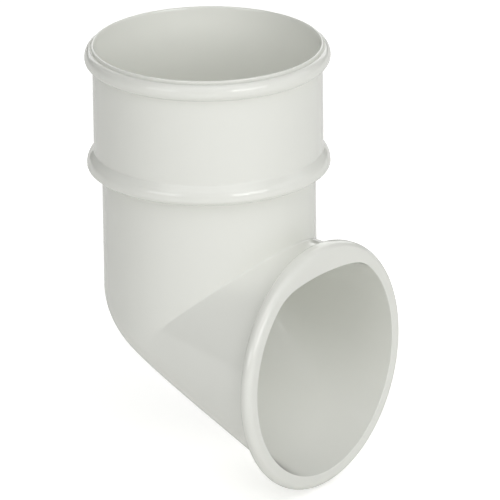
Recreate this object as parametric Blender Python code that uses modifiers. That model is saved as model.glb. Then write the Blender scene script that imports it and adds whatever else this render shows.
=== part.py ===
"""Downpipe shoe: one moulded piece with a pipe socket on top and a wide outlet at the front.

The socket's axis is Z, with the pipe stop at Z = 0. The outlet faces -Y and X runs across.
The solid is the turned socket, the bend and the outlet ring joined, less the socket's bore and
the waterway through the bend.
"""
import math

import bmesh
import bpy
import numpy as np

MM = 0.001

# Pipe and walls, in millimetres
PIPE_DIAMETER = 68.0
PIPE_CLEARANCE = 0.4
SOCKET_WALL = 2.1
BODY_WALL = 2.2

# Socket: its depth from mouth to pipe stop, the rim bead with the angle in degrees at which it starts,
# the lip and the groove beside it, the taper down from the mouth, and the bead at its foot
SOCKET_DEPTH = 39.0
RIM_BEAD_DROP = 4.0
RIM_BEAD_OUT = 2.5
RIM_BEAD_UP = 3.3
RIM_BEAD_DOWN = 2.6
RIM_BEAD_START = 69.0
LIP_THICKNESS = 0.86
LIP_CHAMFER = 0.12
LIP_HEIGHT = 1.13
GROOVE_WIDTH = 0.22
TAPER_DEPTH = 25.0
TAPER_OUT = 1.6
FOOT_BEAD_DEPTH = 0.4
FOOT_BEAD_OUT = 2.2
FOOT_BEAD_UP = 5.4
FOOT_BEAD_DOWN = 2.5
FOOT_BEAD_TUCK = 0.4

# Line where body and leg meet, as depths below the pipe stop
THROAT_DEPTH = 21.8
SIDE_DEPTH = 51.0
HEEL_DEPTH = 56.0
THROAT_THICKNESS = 7.4
SIDE_THICKNESS = 0.5

# Rounding of the heel: how far it reaches up the body and down the leg, at most that share of it
HEEL_REACH_UP = 18.5
HEEL_REACH_DOWN = 75.0
HEEL_FADE = 1.1
LEG_SHARE = 0.85
CREASE_REACH = 6.0

# Outlet, in an upright plane in front of the socket's axis. At the top its ring is thicker towards the
# back by the extra. Root and core say how far in the ring's hidden part reaches.
OUTLET_FORWARD = 43.7
OUTLET_DEPTH = 60.4
OUTLET_RADIUS = 40.5
OUTLET_BEAD_OUT = 2.9
OUTLET_RING_HALF = 2.1
RING_TOP_EXTRA = 1.2
RING_ROOT = 5.4
RING_CORE = 20.0
MOUTH_RIM = 4.8
MOUTH_TOP = 31.4
MOUTH_TOP_RADIUS = 120.0
MOUTH_CORNER = 2.5
MOUTH_EDGE_ROUND = 0.3

# Fineness of the round shapes
AROUND = 72
BEAD_STEPS = 6
BEND_ROWS = 6
FINE_STEPS = 240

# Overlap of the shapes where they join, and how far a cutter stands out
JOIN = 1.0
CUT_PAST = 2.0
SHARP_ANGLE = 32.0

BODY_RADIUS = PIPE_DIAMETER / 2
WATER_RADIUS = BODY_RADIUS - BODY_WALL
BORE_RADIUS = BODY_RADIUS + PIPE_CLEARANCE
SOCKET_RADIUS = BORE_RADIUS + SOCKET_WALL
LEG_END_RADIUS = OUTLET_RADIUS - OUTLET_BEAD_OUT
MOUTH_RADIUS = OUTLET_RADIUS - MOUTH_RIM
OUTLET_FACE = OUTLET_FORWARD + OUTLET_RING_HALF


def clear_scene():
    """Remove every object, mesh, material and collection of the start file."""
    for item in list(bpy.data.objects):
        bpy.data.objects.remove(item, do_unlink=True)
    for group in (bpy.data.meshes, bpy.data.materials):
        for item in list(group):
            group.remove(item)
    for item in list(bpy.data.collections):
        bpy.data.collections.remove(item)


def new_collection(name):
    collection = bpy.data.collections.new(name)
    bpy.context.scene.collection.children.link(collection)
    return collection


def new_object(name, points, edges, faces, collection):
    """Object from points in millimetres."""
    mesh = bpy.data.meshes.new(name)
    mesh.from_pydata([tuple(float(c) * MM for c in point) for point in points], edges, faces)
    mesh.update()
    item = bpy.data.objects.new(name, mesh)
    collection.objects.link(item)
    return item


def arc(centre, out, up, start, end, steps=BEAD_STEPS):
    """Points (radius, height) of an ellipse's arc, with angles in degrees above its outer side."""
    angles = np.radians(np.linspace(start, end, steps + 1))
    return [(centre[0] + out * math.cos(a), centre[1] + up * math.sin(a)) for a in angles]


def turned(name, profile, collection):
    """Solid turned about Z from a profile of (radius, height) that runs down its outer side."""
    points = [(radius, 0.0, height) for radius, height in profile]
    edges = [(i, i + 1) for i in range(len(points) - 1)]
    item = new_object(name, points, edges, [], collection)
    screw = item.modifiers.new("Turn", "SCREW")
    screw.axis = "Z"
    screw.angle = math.tau
    screw.steps = AROUND
    screw.render_steps = AROUND
    screw.use_merge_vertices = True
    screw.merge_threshold = 1e-7
    return item


def around_angles():
    """Angles round the socket's axis, from the throat at the front (0) by way of +X."""
    return np.arange(AROUND) * (math.tau / AROUND)


def meeting_line(radius, throat, side, heel):
    """Points where body and leg meet, on a cylinder, at depths set for throat, side and heel.

    From throat to side the depth changes evenly with the distance forward, as in a flat mitre.
    From side to heel it levels out by a power of that distance, with the same slope at the side.
    """
    c = np.cos(around_angles())
    front = side + (throat - side) * c
    levelling = (side - throat) / (heel - side)
    back = heel - (heel - side) * (1 + np.minimum(c, 0)) ** levelling
    depth = np.where(c > 0, front, back)
    return np.stack([radius * np.sin(around_angles()), -radius * c, -depth], axis=1)


def outlet_ring(radii, forward):
    """Points on a closed curve in the outlet's plane, moved forward to a distance from the axis."""
    a = around_angles()
    radii = np.broadcast_to(radii, a.shape)
    return np.stack([radii * np.sin(a), np.full(a.shape, -forward), radii * np.cos(a) - OUTLET_DEPTH], axis=1)


def mouth_radii(extra=0.0):
    """Radii of the mouth: a circle whose top is cut by a flat arch, with rounded corners."""
    a = around_angles()
    c = np.cos(a)
    bow = np.sin(a) ** 2 / (2 * MOUTH_TOP_RADIUS)
    curved = bow > 0
    curved_bow = np.where(curved, bow, 1)
    to_arch = np.where(curved, (np.sqrt(c * c + 4 * bow * MOUTH_TOP) - c) / (2 * curved_bow), MOUTH_TOP)
    to_arch = np.where(c > 0.05, to_arch, 2 * MOUTH_RADIUS)
    mix = np.clip(0.5 + 0.5 * (to_arch - MOUTH_RADIUS) / MOUTH_CORNER, 0, 1)
    radii = to_arch * (1 - mix) + MOUTH_RADIUS * mix - MOUTH_CORNER * mix * (1 - mix)
    return radii + extra


def bend_rows(radius, start_height, corner, end):
    """Rows of points down the body, round the heel and along the leg to the end curve.

    At each angle the path is straight down to the corner and straight on to the end. The corner
    stays sharp from throat to side. From side to heel it is rounded more and more by the curve
    (1-u)^2 a + 2 u (1-u) corner + u^2 b between a point above it and a point along the leg.
    """
    a = around_angles()
    start = np.stack([radius * np.sin(a), -radius * np.cos(a), np.full(a.shape, start_height)], axis=1)
    leg = end - corner
    leg_length = np.linalg.norm(leg, axis=1, keepdims=True)
    fade = (np.clip(-np.cos(a), 0, 1) ** HEEL_FADE)[:, None]
    above = corner + np.array([0.0, 0.0, HEEL_REACH_UP]) * fade
    below = corner + leg / leg_length * np.minimum(HEEL_REACH_DOWN * fade, leg_length * LEG_SHARE)
    u = np.linspace(0, 1, FINE_STEPS + 1)[:, None, None]
    curve = (1 - u) ** 2 * above + 2 * u * (1 - u) * corner + u * u * below
    middle = FINE_STEPS // 2
    top = np.maximum(above, corner + np.array([0.0, 0.0, CREASE_REACH]))
    reach = np.linalg.norm(below - corner, axis=1, keepdims=True)
    foot = corner + leg / leg_length * np.clip(reach, CREASE_REACH, leg_length * LEG_SHARE)
    upper = spaced_rows(np.concatenate([top[None], curve[:middle + 1]]), BEND_ROWS)
    lower = spaced_rows(np.concatenate([curve[middle:], foot[None]]), BEND_ROWS)
    return np.concatenate([start[None], upper, lower[1:], end[None]])


def spaced_rows(paths, count):
    """The same paths with count equal steps each, measured along each path."""
    steps = np.linalg.norm(np.diff(paths, axis=0), axis=2)
    along = np.concatenate([np.zeros((1, steps.shape[1])), np.cumsum(steps, axis=0)])
    rows = np.empty((count + 1, paths.shape[1], 3))
    for k in range(paths.shape[1]):
        wanted = np.linspace(0, along[-1, k], count + 1)
        for axis in range(3):
            rows[:, k, axis] = np.interp(wanted, along[:, k], paths[:, k, axis])
    return rows


def lofted(name, rows, collection):
    """Closed solid through rows of points, with a flat cap at each end."""
    count = rows.shape[1]
    faces = []
    for r in range(rows.shape[0] - 1):
        for k in range(count):
            n = (k + 1) % count
            p, q, s, t = r * count + k, r * count + n, (r + 1) * count + n, (r + 1) * count + k
            if k < count // 2:
                faces.extend([(p, t, s), (p, s, q)])
            else:
                faces.extend([(p, t, q), (q, t, s)])
    last = (rows.shape[0] - 1) * count
    faces.append(tuple(range(count)))
    faces.append(tuple(last + k for k in reversed(range(count))))
    item = new_object(name, rows.reshape(-1, 3), [], faces, collection)
    build = bmesh.new()
    build.from_mesh(item.data)
    bmesh.ops.recalc_face_normals(build, faces=build.faces)
    build.to_mesh(item.data)
    build.free()
    return item


def combine(item, other, operation):
    modifier = item.modifiers.new(operation.title() + " " + other.name, "BOOLEAN")
    modifier.operation = operation
    modifier.solver = "EXACT"
    modifier.object = other
    other.hide_render = True
    other.display_type = "WIRE"


def socket_profile():
    """Outer side of the socket from its lip down past the bead at its foot."""
    bead_centre = (SOCKET_RADIUS, SOCKET_DEPTH - RIM_BEAD_DROP)
    rim = arc(bead_centre, RIM_BEAD_OUT, RIM_BEAD_UP, RIM_BEAD_START, 0)
    rim += arc(bead_centre, RIM_BEAD_OUT, RIM_BEAD_DOWN, 0, -90)[1:]
    lip_outside = BORE_RADIUS + TAPER_OUT + LIP_THICKNESS
    lip = [(0.0, SOCKET_DEPTH), (lip_outside - LIP_CHAMFER, SOCKET_DEPTH),
           (lip_outside, SOCKET_DEPTH - LIP_CHAMFER), (lip_outside + GROOVE_WIDTH, SOCKET_DEPTH - LIP_HEIGHT)]
    shoulder = []
    for part in np.linspace(1, 0, BEAD_STEPS + 2):
        out = FOOT_BEAD_OUT * (0.5 + 0.5 * math.cos(math.pi * part))
        shoulder.append((SOCKET_RADIUS + out, FOOT_BEAD_UP * part - FOOT_BEAD_DEPTH))
    tuck = BODY_RADIUS - FOOT_BEAD_TUCK
    bead_out = SOCKET_RADIUS + FOOT_BEAD_OUT - tuck
    under = arc((tuck, -FOOT_BEAD_DEPTH), bead_out, FOOT_BEAD_DOWN, 0, -90)[1:]
    return lip + rim + shoulder + under + [(0.0, -FOOT_BEAD_DEPTH - FOOT_BEAD_DOWN)]


def bore_profile():
    """Socket's bore from above its mouth, down its taper and straight on to the pipe stop."""
    mouth = BORE_RADIUS + TAPER_OUT
    return [(0.0, SOCKET_DEPTH + CUT_PAST), (mouth + LIP_CHAMFER + CUT_PAST, SOCKET_DEPTH + CUT_PAST),
            (mouth, SOCKET_DEPTH - LIP_CHAMFER), (BORE_RADIUS, SOCKET_DEPTH - TAPER_DEPTH),
            (BORE_RADIUS, 0.0), (0.0, 0.0)]


def outer_bend(collection):
    """Outside of body and leg, from inside the foot bead to the middle of the outlet's ring."""
    corner = meeting_line(BODY_RADIUS, THROAT_DEPTH, SIDE_DEPTH, HEEL_DEPTH)
    rows = bend_rows(BODY_RADIUS, JOIN, corner, outlet_ring(LEG_END_RADIUS, OUTLET_FORWARD))
    return lofted("bend_outside", rows, collection)


def inner_bend(collection):
    """Waterway, from above the pipe stop to past the outlet's face, with a rounded mouth edge.

    At the heel its corner is set inside the outer corner by the body's wall on both sides.
    """
    fall = OUTLET_DEPTH + LEG_END_RADIUS - HEEL_DEPTH
    slope = math.atan2(fall, OUTLET_FORWARD + BODY_RADIUS)
    heel = HEEL_DEPTH + BODY_WALL * (math.tan(slope) - 1 / math.cos(slope))
    corner = meeting_line(WATER_RADIUS, THROAT_DEPTH + THROAT_THICKNESS, SIDE_DEPTH + SIDE_THICKNESS, heel)
    rounding_start = OUTLET_FACE - MOUTH_EDGE_ROUND
    rows = [bend_rows(WATER_RADIUS, JOIN, corner, outlet_ring(mouth_radii(), rounding_start))]
    for degrees in (30, 60, 80):
        a = math.radians(degrees)
        extra = MOUTH_EDGE_ROUND * (1 - math.cos(a))
        rows.append(outlet_ring(mouth_radii(extra), rounding_start + MOUTH_EDGE_ROUND * math.sin(a))[None])
    rows.append(outlet_ring(mouth_radii(MOUTH_EDGE_ROUND), OUTLET_FACE + CUT_PAST)[None])
    return lofted("bend_inside", np.concatenate(rows), collection)


def ring_on_outlet(collection):
    """Outlet's ring, from a core hidden in the waterway, over its back and outer side to its face.

    Its section is a half round below and at the sides. Above, it is thicker towards the back by the
    extra times the square of the cosine of the angle from the top.
    """
    c = np.clip(np.cos(around_angles()), 0, 1)
    back_middle = OUTLET_FORWARD - RING_TOP_EXTRA * c * c
    back = back_middle - OUTLET_RING_HALF
    centre = OUTLET_RADIUS - OUTLET_RING_HALF
    rows = [outlet_ring(RING_CORE, back.min()), outlet_ring(OUTLET_RADIUS - RING_ROOT, back)]
    for out, forward in arc((0.0, 0.0), OUTLET_RING_HALF, OUTLET_RING_HALF, -90, 0):
        rows.append(outlet_ring(centre + out, back_middle + forward))
    for out, forward in arc((0.0, 0.0), OUTLET_RING_HALF, OUTLET_RING_HALF, 0, 90)[1:]:
        rows.append(outlet_ring(centre + out, OUTLET_FORWARD + forward))
    return lofted("outlet_ring", np.stack(rows), collection)


def material(name, color):
    item = bpy.data.materials.new(name)
    item.use_nodes = True
    shader = item.node_tree.nodes["Principled BSDF"]
    shader.inputs["Base Color"].default_value = (*color, 1.0)
    shader.inputs["Roughness"].default_value = 0.3
    return item


def finish(item):
    """Turn the joined and cut shape into a plain mesh, smooth apart from its real edges."""
    graph = bpy.context.evaluated_depsgraph_get()
    mesh = bpy.data.meshes.new_from_object(item.evaluated_get(graph))
    item.modifiers.clear()
    item.data = mesh
    mesh.shade_smooth()
    mesh.set_sharp_from_angle(angle=math.radians(SHARP_ANGLE))


def main():
    clear_scene()
    parts = new_collection("downpipe_shoe")
    cutters = new_collection("shaping_solids")
    shoe = turned("downpipe_shoe", socket_profile(), parts)
    combine(shoe, outer_bend(cutters), "UNION")
    combine(shoe, ring_on_outlet(cutters), "UNION")
    combine(shoe, turned("socket_bore", bore_profile(), cutters), "DIFFERENCE")
    combine(shoe, inner_bend(cutters), "DIFFERENCE")
    finish(shoe)
    shoe.data.materials.append(material("pvc_body", (0.76, 0.76, 0.71)))


main()
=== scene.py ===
# %% [markdown]
# # A downpipe shoe, dressed for its picture
#
# A downpipe shoe is the last fitting at the foot of a rainwater pipe. The pipe pushes down into the
# round socket on top, and the bent leg throws the water forward, clear of the wall. The real one is a
# single injection moulding in rigid PVC, so this lesson makes a single closed surface. The packed
# model gives the frame: the socket's axis is Z, the pipe stop is at Z = 0 and the outlet faces -Y.

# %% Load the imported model
import math

import bpy
import numpy as np
from mathutils import Matrix, Vector


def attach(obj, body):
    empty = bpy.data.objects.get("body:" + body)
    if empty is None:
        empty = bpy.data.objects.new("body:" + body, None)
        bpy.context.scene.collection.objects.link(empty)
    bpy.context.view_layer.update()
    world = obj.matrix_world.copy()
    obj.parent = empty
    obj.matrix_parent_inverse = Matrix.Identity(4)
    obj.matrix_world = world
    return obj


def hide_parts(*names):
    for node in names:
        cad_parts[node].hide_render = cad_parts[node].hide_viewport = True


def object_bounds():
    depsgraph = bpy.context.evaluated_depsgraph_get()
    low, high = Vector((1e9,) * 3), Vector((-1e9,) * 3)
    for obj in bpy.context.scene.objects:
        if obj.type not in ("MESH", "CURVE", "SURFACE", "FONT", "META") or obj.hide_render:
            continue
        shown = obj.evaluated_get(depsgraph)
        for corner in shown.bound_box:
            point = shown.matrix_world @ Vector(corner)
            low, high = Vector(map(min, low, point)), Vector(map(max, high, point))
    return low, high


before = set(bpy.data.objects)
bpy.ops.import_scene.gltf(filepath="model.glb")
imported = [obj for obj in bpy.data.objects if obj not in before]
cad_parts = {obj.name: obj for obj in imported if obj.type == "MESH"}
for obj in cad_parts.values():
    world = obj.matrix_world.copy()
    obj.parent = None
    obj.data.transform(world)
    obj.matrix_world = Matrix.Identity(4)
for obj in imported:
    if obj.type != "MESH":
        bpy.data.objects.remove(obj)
cad_box = [list(corner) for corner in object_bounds()]
MM = 0.001
print("packed nodes:", sorted(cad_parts))
print("packed box in mm:", np.round(np.array(cad_box) / MM, 2).tolist())

# %% [markdown]
# ## Sizes
#
# The sizes are those of the solid model, in millimetres, so the skin lands on it with no fitting.
# The small roundings are added further down, each where it is made: a moulding has no sharp edge
# anywhere, because the mould was cut with round tools and the plastic shrinks back from its corners.
# They are what catches the light. The camera and the lamps, near the end, are placed in metres.

# %% Sizes in millimetres
WALL = 2.2
BODY_RADIUS = 34.0
WATER_RADIUS = BODY_RADIUS - WALL
SOCKET_RADIUS = 36.5
SOCKET_TOP = 39.0
OUTLET_DEPTH = 60.4
OUTLET_FORWARD = 43.7
OUTLET_RADIUS = 40.5
RING_HALF = 2.1
OUTLET_FACE = OUTLET_FORWARD + RING_HALF
LEG_END_RADIUS = 37.6

COLUMNS = 320
ANGLES = np.arange(COLUMNS) * (math.tau / COLUMNS)
SIN, COS = np.sin(ANGLES), np.cos(ANGLES)
print("column spacing on the socket:", round(math.tau * SOCKET_RADIUS / COLUMNS, 2), "mm")

# %% [markdown]
# ## Two ways round
#
# The skin is one function of two parameters. The first is the angle round the part, from the throat
# at the front by way of +X. The second is the way along a section: down the outside, over the
# outlet's lip, back up the waterway and over the socket's lip to where it began. The socket and body
# are round about Z, and the outlet is round about a level line, so two small functions carry a
# section's points round those two axes, and everything between them is drawn straight.

# %% Carry section points round the two axes
def round_the_socket(radius, height):
    """Rows of points (R sin a, -R cos a, Z), for each pair of radius R and height Z."""
    radius = np.atleast_1d(radius)[:, None]
    height = np.atleast_1d(height)[:, None] * np.ones(COLUMNS)
    return np.stack([radius * SIN, -radius * COS, height], axis=-1)


def round_the_outlet(radius, forward):
    """Rows of points (r sin a, -f, r cos a - depth of the outlet), for radius r and distance f."""
    radius, forward = np.broadcast_arrays(radius, forward)
    return np.stack([radius * SIN, -forward * np.ones(COLUMNS), radius * COS - OUTLET_DEPTH], axis=-1)


def ellipse(centre, out, up, start, end, steps):
    """Radius and height along an ellipse's arc: (cx + out cos t, cz + up sin t), t in degrees."""
    t = np.radians(np.linspace(start, end, steps + 1))
    return centre[0] + out * np.cos(t), centre[1] + up * np.sin(t)


print("throat of the body at the stop:", round_the_socket(BODY_RADIUS, 0)[0, 0].tolist(), "mm")

# %% [markdown]
# ## Soft corners
#
# Where two straight runs of the section meet, the corner is swapped for a short curve: from a point
# before the corner to a point after it, bent towards the corner itself. One more row is laid on the
# straight run just outside each end of the curve. Without it the smooth shading of the small curve
# would smear over the whole flat wall beside it.

# %% Round a corner of the section
LONGEST_REACH = 0.3
SUPPORT = 1.5


def soft_corner(before, corner, after, reach, steps=6):
    """Rows on the curve (1-u)^2 p + 2u(1-u) corner + u^2 q, with a support row before and after it.

    p and q lie on the lines from the corner towards its neighbours, a reach away but no more than
    0.3 of the way to the neighbour. The support rows lie 1.5 times as far from the corner.
    """
    reach = np.broadcast_to(reach, (COLUMNS,))[:, None]

    def along(target, share):
        line = target - corner
        length = np.linalg.norm(line, axis=-1, keepdims=True)
        return corner + line * np.minimum(reach * share / length, LONGEST_REACH * share)

    u = np.linspace(0, 1, steps + 1)[:, None, None]
    p, q = along(before, 1.0), along(after, 1.0)
    curve = (1 - u) ** 2 * p + 2 * u * (1 - u) * corner + u * u * q
    return np.concatenate([along(before, SUPPORT)[None], curve, along(after, SUPPORT)[None]])


sample = round_the_socket([BODY_RADIUS, BODY_RADIUS, SOCKET_RADIUS], [-4, 0, 0])
print("rows in a soft corner:", len(soft_corner(*sample, reach=0.3)))

# %% [markdown]
# ## The line where body and leg meet
#
# Seen from the side, the leg is mitred onto the body: a straight crease climbs from each side to the
# throat at the front. Towards the heel the crease levels out and melts into a round back. The same
# formula serves outside and inside, each with its own depths.

# %% Meeting line
def meeting_line(radius, throat, side, heel):
    """Points on a cylinder: depth = side + (throat - side) cos a in front, levelling to heel behind.

    Behind, depth = heel - (heel - side) (1 + cos a)^k, with k = (side - throat) / (heel - side), so
    that both halves leave the side with the same slope.
    """
    k = (side - throat) / (heel - side)
    front = side + (throat - side) * COS
    back = heel - (heel - side) * (1 + np.minimum(COS, 0)) ** k
    depth = np.where(COS > 0, front, back)
    return np.stack([radius * SIN, -radius * COS, -depth], axis=-1)


HEEL_DEPTH = 56.0
outer_line = meeting_line(BODY_RADIUS, throat=21.8, side=51.0, heel=HEEL_DEPTH)
print("crease from", -outer_line[0, 2], "mm deep at the throat to", -outer_line[:, 2].min(), "at the heel")

# %% [markdown]
# The crease is crisp in front and loses its edge at both ends, so its rounding is a function of the
# angle. The heel's large bend and the crease's small one are the same curve with different reaches.

# %% Rounding of the crease and the bend
CRISP_REACH = 0.25
THROAT_REACH, THROAT_END, THROAT_FADE = 0.5, 30, 16
SIDE_REACH, SIDE_START, SIDE_FADE = 3.0, 73, 22
HEEL_UP, HEEL_DOWN, HEEL_POWER = 18.5, 75.0, 1.1
CREASE_SHARE, BEND_SHARE, SUPPORT_SHARE = 0.36, 0.85, 0.9
SUPPORT_GAP = 0.5


def smooth_step(x):
    """0 below 0, 1 above 1 and x x (3 - 2x) between."""
    x = np.clip(x, 0, 1)
    return x * x * (3 - 2 * x)


def crease_reach():
    """Reach of the crease's rounding: 0.25, with 0.5 more at the throat and 3 more past the side.

    The 0.5 fades out between 14 and 30 degrees from the throat, and the 3 comes in from 73 to 95.
    """
    from_throat = np.degrees(np.minimum(ANGLES, math.tau - ANGLES))
    at_throat = smooth_step((THROAT_END - from_throat) / THROAT_FADE)
    past_side = smooth_step((from_throat - SIDE_START) / SIDE_FADE)
    return CRISP_REACH + THROAT_REACH * at_throat + SIDE_REACH * past_side


def bend(corner, end, steps=30):
    """Rows down the body, round the corner and on towards the end curve.

    The curve is (1-u)^2 above + 2u(1-u) corner + u^2 below. Its reach up is 18.5 mm and down the
    leg 75 mm times a fade that is 0 from throat to side and grows to 1 at the heel. It is never
    shorter than the crease's own reach, or 0.36 of the leg where the leg is short, and never goes
    past 0.85 of the leg.
    """
    fade = (np.clip(-COS, 0, 1) ** HEEL_POWER)[:, None]
    crease = crease_reach()[:, None]
    leg = end - corner
    length = np.linalg.norm(leg, axis=-1, keepdims=True)
    up = np.sqrt((HEEL_UP * fade) ** 2 + crease ** 2)
    down = np.sqrt((HEEL_DOWN * fade) ** 2 + np.minimum(crease, CREASE_SHARE * length) ** 2)
    down = np.minimum(down, BEND_SHARE * length)
    rise = np.array([0.0, 0.0, 1.0])
    above, below = corner + rise * up, corner + leg / length * down
    u = np.linspace(0, 1, steps + 1)[:, None, None]
    curve = (1 - u) ** 2 * above + 2 * u * (1 - u) * corner + u * u * below
    support_up = corner + rise * (up + SUPPORT_GAP)
    support_down = corner + leg / length * np.minimum(down + SUPPORT_GAP, SUPPORT_SHARE * length)
    return np.concatenate([support_up[None], curve, support_down[None]])


print("crease reach at throat, middle and side:", np.round(crease_reach()[[0, 40, 80]], 2).tolist(), "mm")

# %% [markdown]
# ## Outside of the socket
#
# The rim is a round bead with a thin lip standing up from it and a fine groove beside the lip. A
# second, softer bead marks the pipe stop: it slopes out of the wall, rounds over and tucks in
# sharply below, where a thin dark line shows. Each bead is two arcs of ellipses in the section.

# %% Outside of the socket, from its lip to the top of the body
# An arc's centre (radius, height), its reach out and up, its first and last angle, and its steps.
LIP = (36.43, SOCKET_TOP - 0.35), 0.33, 0.35, 165, 0, 10
GROOVE = (37.07, 38.15), 0.30, 0.60, 180, 330, 9
RIM_BEAD = (SOCKET_RADIUS, 35.0), 2.5, 3.3, 69, 0, 15
UNDER_RIM_BEAD = (SOCKET_RADIUS, 35.0), 2.5, 2.6, -5, -74, 12
FOOT_BEAD = (SOCKET_RADIUS, -0.45), 2.2, 3.9, 56, 0, 16
UNDER_FOOT_BEAD = (33.6, -0.45), 5.1, 2.45, -6, -76, 14
WALL_TOP, WALL_FOOT = 32.4, 4.25
BODY_TOP, BODY_BELOW = -2.9, -12.0


def rows_of_arcs(*arcs):
    """Rows round the socket along arcs of ellipses, laid one after the other."""
    radius, height = np.concatenate([ellipse(*arc) for arc in arcs], axis=1)
    return round_the_socket(radius, height)


def socket_outside():
    """Lip, groove, rim bead, wall, foot bead and the tuck below it, as rows round the socket."""
    top = rows_of_arcs(LIP, GROOVE, RIM_BEAD, UNDER_RIM_BEAD)
    foot = rows_of_arcs(FOOT_BEAD, UNDER_FOOT_BEAD)
    wall_top, wall_foot = round_the_socket([SOCKET_RADIUS, SOCKET_RADIUS], [WALL_TOP, WALL_FOOT])
    body_top, body_below = round_the_socket([BODY_RADIUS, BODY_RADIUS], [BODY_TOP, BODY_BELOW])
    under_rim = soft_corner(top[-1], wall_top, wall_foot, reach=0.25)
    shoulder = soft_corner(wall_top, wall_foot, foot[0], reach=0.3)
    under_foot = soft_corner(foot[-1], body_top, body_below, reach=0.3)
    return np.concatenate([top, under_rim, shoulder, foot, under_foot])


outside = socket_outside()
print("socket outside:", outside.shape[0], "rows, widest", round(2 * outside[..., 0].max(), 2), "mm")

# %% [markdown]
# ## The outlet's mouth
#
# The mouth is a circle whose top is cut by a nearly flat arch, with soft corners where they meet. So
# it is drawn as a radius for each angle: the smaller of the two curves, blended near the corners.

# %% Mouth curve
MOUTH_RADIUS = 35.7
MOUTH_TOP = 31.4
MOUTH_TOP_RADIUS = 120.0
MOUTH_CORNER = 2.5
MOUTH_EDGE = 0.3


def mouth_radii(extra=0.0):
    """Radius of the mouth at each angle, plus an extra: the smooth lesser of a circle and a flat arch.

    The arch is up = 31.4 - across^2 / 240 from the outlet's centre, as round at its top as a circle of
    radius 120, so its radius r solves r^2 sin^2 a / 240 + r cos a = 31.4. Close to the upright line it
    is simply 31.4, and from about level down it is set too far out to count.
    With d = arch - mouth and a corner c, m = 0.5 + 0.5 d/c is cut to 0..1, and the radius is
    arch (1 - m) + mouth m - c m (1 - m).
    """
    bow = np.maximum(SIN ** 2 / (2 * MOUTH_TOP_RADIUS), 1e-9)
    arch = (np.sqrt(COS * COS + 4 * bow * MOUTH_TOP) - COS) / (2 * bow)
    arch = np.where(np.abs(SIN) < 1e-3, MOUTH_TOP, arch)
    arch = np.where(COS > 0.05, arch, 2 * MOUTH_RADIUS)
    mix = np.clip(0.5 + 0.5 * (arch - MOUTH_RADIUS) / MOUTH_CORNER, 0, 1)
    return arch * (1 - mix) + MOUTH_RADIUS * mix - MOUTH_CORNER * mix * (1 - mix) + extra


print("mouth:", round(mouth_radii()[0], 2), "mm up and", round(mouth_radii().max(), 2), "mm to the sides")

# %% [markdown]
# ## Body, leg and outlet ring
#
# Below the foot bead the body runs straight to the crease, and the leg opens like a funnel from the
# body's circle to the ring at the outlet. The ring is a half round with a slightly crowned face, and
# the face is wider above the mouth, because of the arch. Above its sides the ring is also thicker
# towards the back.

# %% Outside of body and leg, and the outlet ring
FACE_CROWN, FLAT_FACE = 0.12, 2.4
FACE_START, FACE_ROWS = 0.08, 7
RING_THICKER = 1.2
RING_TUCK = 1.2
RING_BACK_ARC = -84, 0, 12
RING_FRONT_ARC = 7, 84, 11


def ring_arc(middle, start, end, steps):
    """Radius and distance on a round of the ring's half thickness h about a middle distance.

    They are (outlet radius - h + h cos t, middle + h sin t), t in degrees from start to end.
    """
    t = np.radians(np.linspace(start, end, steps + 1))[:, None]
    return OUTLET_RADIUS - RING_HALF + RING_HALF * np.cos(t), middle + RING_HALF * np.sin(t)


def lip_face():
    """Radius and distance of the outlet's face, crowned where it is wide: drop = 0.12 (width - 2.4) t^2."""
    outer = OUTLET_RADIUS - RING_HALF
    width = outer - mouth_radii(MOUTH_EDGE)
    across = np.linspace(FACE_START, 1, FACE_ROWS)[:, None]
    drop = FACE_CROWN * np.maximum(width - FLAT_FACE, 0)
    return outer - width * across, OUTLET_FACE - drop * across ** 2


def body_and_ring():
    """Rows from the body's top to the inner edge of the outlet's face.

    The ring's back half is set back by 1.2 c^2, with c the cosine of the angle from the top, or 0
    below the sides.
    """
    end = round_the_outlet(LEG_END_RADIUS, OUTLET_FORWARD)
    bent = bend(outer_line, end)
    back_middle = OUTLET_FORWARD - RING_THICKER * np.maximum(COS, 0) ** 2
    back_edge = round_the_outlet(*ring_arc(back_middle, *RING_BACK_ARC))
    front_edge = round_the_outlet(*ring_arc(OUTLET_FORWARD, *RING_FRONT_ARC))
    behind_ring = back_middle - RING_HALF
    share = (outer_line[:, 1] + behind_ring) / (outer_line[:, 1] - end[:, 1])
    foot_of_ring = outer_line + (end - outer_line) * share[:, None]
    tucked = soft_corner(bent[-1], foot_of_ring, back_edge[0], reach=RING_TUCK)
    return np.concatenate([bent, tucked, back_edge, front_edge, round_the_outlet(*lip_face())])


body = body_and_ring()
print("body, leg and ring:", body.shape[0], "rows, lowest", round(body[..., 2].min(), 2), "mm")

# %% [markdown]
# ## Waterway and bore
#
# The way back runs inside: round the mouth's edge, up the leg, round the bend and up to the ledge
# that stops the pipe. For 14 mm above the ledge the bore fits closely round the pipe, and from there
# to the lip it opens in a long, slight taper, which lets the mould's core draw out and the pipe find
# its way in. Two rows close under the lip keep its smooth shading off the taper.

# %% Depth of the heel inside
fall = OUTLET_DEPTH + LEG_END_RADIUS - HEEL_DEPTH
slope = math.atan2(fall, OUTLET_FORWARD + BODY_RADIUS)
# The wall is measured square to the sloping underside of the leg.
inner_heel = HEEL_DEPTH + WALL * (math.tan(slope) - 1 / math.cos(slope))
inner_line = meeting_line(WATER_RADIUS, throat=29.2, side=51.5, heel=inner_heel)
print("slope of the underside:", round(math.degrees(slope), 1), "degrees")
print("depth of the heel inside:", round(inner_heel, 2), "mm")

# %% Waterway, pipe stop, bore and its taper
BORE_RADIUS = 34.4
TAPER_FOOT = 14.0
BORE_TOP_RADII, BORE_TOP_HEIGHTS = [35.96, 36.0], [37.9, 38.5]
EDGE_TURNS = np.radians([70, 50, 30, 10, 0])[:, None]
BEHIND_EDGE = 0.25


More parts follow.
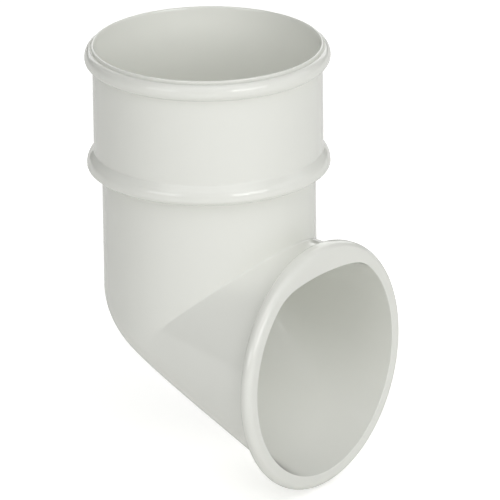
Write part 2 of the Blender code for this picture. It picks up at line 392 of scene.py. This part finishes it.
def inside():
    """Rows from the mouth's edge up the waterway, over the pipe stop and up the bore to the lip.

    The mouth's edge is a small round: (mouth + e - e cos t, distance + e sin t), with e 0.3 mm.
    """
    edge_distance = lip_face()[1][-1] - MOUTH_EDGE
    rounding = round_the_outlet(mouth_radii(MOUTH_EDGE) - MOUTH_EDGE * np.cos(EDGE_TURNS),
                                edge_distance + MOUTH_EDGE * np.sin(EDGE_TURNS))
    behind_edge = round_the_outlet(mouth_radii(), edge_distance - BEHIND_EDGE)
    bent = bend(inner_line, round_the_outlet(mouth_radii(), edge_distance))[::-1]
    stop_inner, stop_outer = round_the_socket([WATER_RADIUS, BORE_RADIUS], [0.0, 0.0])
    taper_foot = round_the_socket(BORE_RADIUS, TAPER_FOOT)[0]
    bore_top = round_the_socket(BORE_TOP_RADII, BORE_TOP_HEIGHTS)
    ledge = soft_corner(bent[-1], stop_inner, stop_outer, reach=0.25, steps=4)
    root = soft_corner(stop_inner, stop_outer, taper_foot, reach=0.25, steps=4)
    start = soft_corner(stop_outer, taper_foot, bore_top[0], reach=2.0, steps=4)
    return np.concatenate([rounding, behind_edge[None], bent, ledge, root, start, bore_top])


waterway = inside()
print("waterway and bore:", waterway.shape[0], "rows")

# %% [markdown]
# ## One closed skin
#
# The three stretches are laid end to end and the last row is joined to the first, so the surface
# closes both ways, like the skin of a bent tyre. Each quad is listed down, right, up, which turns its
# outer side outwards.

# %% Put the rows into one closed mesh
def closed_skin(name, rows):
    """Mesh of a grid of points that closes on itself in both directions."""
    count, around = rows.shape[:2]
    row, col = np.meshgrid(np.arange(count), np.arange(around), indexing="ij")
    below, right = (row + 1) % count, (col + 1) % around
    quads = np.stack([row * around + col, below * around + col,
                      below * around + right, row * around + right], axis=-1)
    mesh = bpy.data.meshes.new(name)
    mesh.vertices.add(count * around)
    mesh.vertices.foreach_set("co", (rows * MM).astype(np.float32).ravel())
    mesh.loops.add(quads.size)
    mesh.loops.foreach_set("vertex_index", quads.reshape(-1).astype(np.int32))
    mesh.polygons.add(count * around)
    mesh.polygons.foreach_set("loop_start", (np.arange(count * around) * 4).astype(np.int32))
    mesh.polygons.foreach_set("use_smooth", np.ones(count * around, dtype=bool))
    mesh.update(calc_edges=True)
    mesh.validate()
    item = bpy.data.objects.new(name, mesh)
    bpy.context.scene.collection.objects.link(item)
    return item


shoe = closed_skin("moulded_shoe", np.concatenate([outside, body, waterway]))
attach(shoe, "root")
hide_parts("downpipe_shoe")
print("moulded_shoe:", len(shoe.data.polygons), "quads")

# %% [markdown]
# ## Material: injection-moulded rigid PVC
#
# Rainwater fittings in this pale grey-white are rigid PVC, made opaque with chalk and titanium white
# and moulded in a polished steel tool. That gives a gloss that is a little soft, an index of 1.53 and
# no grain. Up close the surface isn't quite even: the wall sinks by hundredths of a millimetre where
# it cools last, over 10 to 20 mm, and the tool's polish is a little duller in some spots than others.

# %% Colour and node helpers
def linear(hex_colour):
    """Linear RGBA of an sRGB hex colour: c/12.92 below 0.04045, else ((c + 0.055)/1.055)^2.4."""
    c = np.array([int(hex_colour[i:i + 2], 16) for i in (1, 3, 5)]) / 255
    return (*np.where(c <= 0.04045, c / 12.92, ((c + 0.055) / 1.055) ** 2.4), 1.0)


def add_node(tree, kind, settings=None, links=None):
    """Node of a kind with its settings, and links from {input name: output socket}.

    A setting whose name is an input sets that input's value; any other sets a property of the node.
    """
    node = tree.nodes.new(kind)
    for name, value in (settings or {}).items():
        if name in node.inputs:
            node.inputs[name].default_value = value
        else:
            setattr(node, name, value)
    for name, socket in (links or {}).items():
        tree.links.new(socket, node.inputs[name])
    return node


def new_material(name):
    """Empty node material and its tree."""
    item = bpy.data.materials.new(name)
    item.use_nodes = True
    item.node_tree.nodes.clear()
    return item, item.node_tree


print("the PVC's darker tint in linear light:", np.round(linear("#ECEDE7")[:3], 3).tolist())

# %% Rigid PVC
FLOW_LENGTH, WAVE_LENGTH, SPOT_SIZE = 0.040, 0.014, 0.0015
WAVE_DEPTH = 0.00008


def moulded_pvc():
    """Rigid PVC: pale grey-white, softly glossy, with faint flow streaks, sink waves and polish spots."""
    item, tree = new_material("injection_moulded_pvc")
    place = add_node(tree, "ShaderNodeTexCoord").outputs["Object"]
    # Streaks where the melt flowed in: about 40 mm long, a half per cent lighter or darker.
    flow = add_node(tree, "ShaderNodeTexNoise", {"Scale": 1 / FLOW_LENGTH, "Detail": 2.0}, {"Vector": place})
    tint = add_node(tree, "ShaderNodeMix", {"data_type": "RGBA"}, {"Factor": flow.outputs["Fac"]})
    tint.inputs["A"].default_value = linear("#ECEDE7")
    tint.inputs["B"].default_value = linear("#EFF0EA")
    # Sink waves of about 14 mm, a few hundredths of a millimetre deep.
    waves = add_node(tree, "ShaderNodeTexNoise", {"Scale": 1 / WAVE_LENGTH, "Detail": 1.0}, {"Vector": place})
    sink = add_node(tree, "ShaderNodeBump", {"Strength": 0.25, "Distance": WAVE_DEPTH},
                    {"Height": waves.outputs["Fac"]})
    # Duller and brighter spots of the polish. The real ones are about 0.3 mm, which is too fine to
    # show in the picture, so they are drawn 1.5 mm across.
    spots = add_node(tree, "ShaderNodeTexNoise", {"Scale": 1 / SPOT_SIZE, "Detail": 1.0}, {"Vector": place})
    polish = add_node(tree, "ShaderNodeMapRange", {"To Min": 0.06, "To Max": 0.14},
                      {"Value": spots.outputs["Fac"]})
    shader = add_node(tree, "ShaderNodeBsdfPrincipled", {"IOR": 1.53},
                      {"Base Color": tint.outputs["Result"], "Roughness": polish.outputs["Result"],
                       "Normal": sink.outputs["Normal"]})
    add_node(tree, "ShaderNodeOutputMaterial", None, {"Surface": shader.outputs["BSDF"]})
    return item


shoe.data.materials.append(moulded_pvc())
print("material:", shoe.data.materials[0].name)

# %% [markdown]
# ## Floor and backdrop
#
# The picture shows the part on plain white. The floor is a pale sheet that takes the part's soft
# shadow. To the camera it adds a little light of its own, so that it reads white where no shadow
# falls; no lamp is turned up for it.

# %% Floor
FLOOR_HALF = 4.0
# The floor is just clear of the ring's lowest point.
FLOOR_GAP = 0.0006
FLOOR_GLOW = 0.42


def pale_floor(height):
    """Square floor at a height, white to the camera and pale to the light."""
    mesh = bpy.data.meshes.new("floor")
    corners = [(x * FLOOR_HALF, y * FLOOR_HALF, height) for x, y in ((-1, -1), (1, -1), (1, 1), (-1, 1))]
    mesh.from_pydata(corners, [], [(0, 1, 2, 3)])
    item = bpy.data.objects.new("floor", mesh)
    bpy.context.scene.collection.objects.link(item)
    paper, tree = new_material("white_backdrop_paper")
    sheet = add_node(tree, "ShaderNodeBsdfDiffuse", {"Color": linear("#F8F8F6")})
    glow = add_node(tree, "ShaderNodeEmission", {"Strength": FLOOR_GLOW})
    seen = add_node(tree, "ShaderNodeAddShader")
    tree.links.new(sheet.outputs[0], seen.inputs[0])
    tree.links.new(glow.outputs[0], seen.inputs[1])
    ray = add_node(tree, "ShaderNodeLightPath")
    mix = add_node(tree, "ShaderNodeMixShader", None, {"Fac": ray.outputs["Is Camera Ray"]})
    tree.links.new(sheet.outputs[0], mix.inputs[1])
    tree.links.new(seen.outputs[0], mix.inputs[2])
    add_node(tree, "ShaderNodeOutputMaterial", None, {"Surface": mix.outputs[0]})
    mesh.materials.append(paper)
    return item


floor = pale_floor(cad_box[0][2] - FLOOR_GAP)
print("floor at", round(floor.data.vertices[0].co.z / MM, 1), "mm")

# %% [markdown]
# ## Camera
#
# The picture was taken with a long lens from a little above and to the left of the outlet. The angle,
# roll and framing were fitted to the part's outline: 52.2 degrees round from the front, 19.85 up.

# %% Camera
AZIMUTH, ELEVATION, ROLL = math.radians(-52.22), math.radians(19.852), math.radians(0.783)
DISTANCE = 2.5
# The camera looks at a point this far to the right of the frame's origin and below it.
AIM_RIGHT, AIM_DOWN = 0.01270, 0.02909
PIXELS_PER_MM, PICTURE_WIDTH, SENSOR_WIDTH = 3.145, 500, 36.0


def towards(azimuth, elevation):
    """Unit vector (sin a cos e, -cos a cos e, sin e), for an azimuth a from the front and elevation e."""
    level = math.cos(elevation)
    return Vector((math.sin(azimuth) * level, -math.cos(azimuth) * level, math.sin(elevation)))


to_camera = towards(AZIMUTH, ELEVATION)
right = Vector((math.cos(AZIMUTH), math.sin(AZIMUTH), 0.0))
up = to_camera.cross(right)
lens_at = to_camera * DISTANCE
back = (lens_at - (right * AIM_RIGHT - up * AIM_DOWN)).normalized()
across = up.cross(back).normalized()
turn = Matrix((across, back.cross(across), back)).transposed() @ Matrix.Rotation(-ROLL, 3, "Z")

camera = bpy.data.objects.new("camera", bpy.data.cameras.new("camera"))
bpy.context.scene.collection.objects.link(camera)
camera.matrix_world = Matrix.Translation(lens_at) @ turn.to_4x4()
camera.data.sensor_fit = "HORIZONTAL"
camera.data.sensor_width = SENSOR_WIDTH
camera.data.lens = PIXELS_PER_MM * DISTANCE / MM * SENSOR_WIDTH / PICTURE_WIDTH
camera.data.clip_end = 20.0
bpy.context.scene.camera = camera
print("lens:", round(camera.data.lens, 1), "mm at", DISTANCE, "m")

# %% [markdown]
# ## Light
#
# The highlights on the two beads and the outlet ring show two soft boxes, one each side of the camera
# and a little lower, the right one stronger. The rest comes from broad sheets, too large to show as
# highlights: two in front, higher than the camera, one at the right, and one behind for the rims.
# Each sheet's power was set so that wall and leg are about as light as in the picture, and the inside
# of the socket nearly so.

# %% Soft boxes
LAMPS_AIM = Vector((0, 0, -0.03))


def soft_box(name, azimuth, elevation, distance, width, height, watts):
    """Rectangular area lamp aimed at the part, at an azimuth from the camera's and an elevation.

    It stands at the aim plus distance times (sin a cos e, -cos a cos e, sin e), and faces the aim.
    """
    back = towards(AZIMUTH + math.radians(azimuth), math.radians(elevation))
    data = bpy.data.lights.new(name, "AREA")
    data.shape, data.size, data.size_y, data.energy = "RECTANGLE", width, height, watts
    lamp = bpy.data.objects.new(name, data)
    bpy.context.scene.collection.objects.link(lamp)
    lamp.location = LAMPS_AIM + back * distance
    lamp.rotation_mode = "QUATERNION"
    lamp.rotation_quaternion = back.to_track_quat("Z", "Y")
    return lamp


soft_box("left_soft_box", azimuth=-42.5, elevation=15.0, distance=1.6, width=0.85, height=0.38, watts=3.0)
soft_box("right_soft_box", azimuth=38.5, elevation=15.0, distance=1.6, width=0.95, height=0.45, watts=5.4)
soft_box("wide_front_sheet", azimuth=0.0, elevation=38.0, distance=2.7, width=4.4, height=2.95, watts=28.0)
soft_box("high_front_sheet", azimuth=0.0, elevation=62.0, distance=2.4, width=4.0, height=2.2, watts=21.0)
soft_box("right_sheet", azimuth=85.0, elevation=22.0, distance=2.0, width=1.6, height=1.2, watts=5.0)
soft_box("back_sheet", azimuth=180.0, elevation=34.0, distance=2.6, width=4.0, height=2.4, watts=50.0)
print("lamps:", len(bpy.data.lights), "with", round(sum(lamp.energy for lamp in bpy.data.lights), 1), "W")

# %% [markdown]
# The world gives no light, so the lamps alone shape the part. The camera sees it as white, which
# continues the white floor to the horizon.

# %% World and view transform
def white_to_the_camera():
    """World of strength 0 to every ray but the camera's, which finds white of strength 1."""
    world = bpy.data.worlds.new("studio")
    world.use_nodes = True
    tree = world.node_tree
    tree.nodes.clear()
    dark = add_node(tree, "ShaderNodeBackground", {"Color": linear("#FFFFFF"), "Strength": 0.0})
    white = add_node(tree, "ShaderNodeBackground", {"Color": linear("#FFFFFF"), "Strength": 1.0})
    ray = add_node(tree, "ShaderNodeLightPath")
    mix = add_node(tree, "ShaderNodeMixShader", None, {"Fac": ray.outputs["Is Camera Ray"]})
    tree.links.new(dark.outputs[0], mix.inputs[1])
    tree.links.new(white.outputs[0], mix.inputs[2])
    add_node(tree, "ShaderNodeOutputWorld", None, {"Surface": mix.outputs[0]})
    return world


bpy.context.scene.world = white_to_the_camera()
bpy.context.scene.view_settings.view_transform = "Standard"
print("world:", bpy.context.scene.world.name, "seen through", bpy.context.scene.view_settings.view_transform)
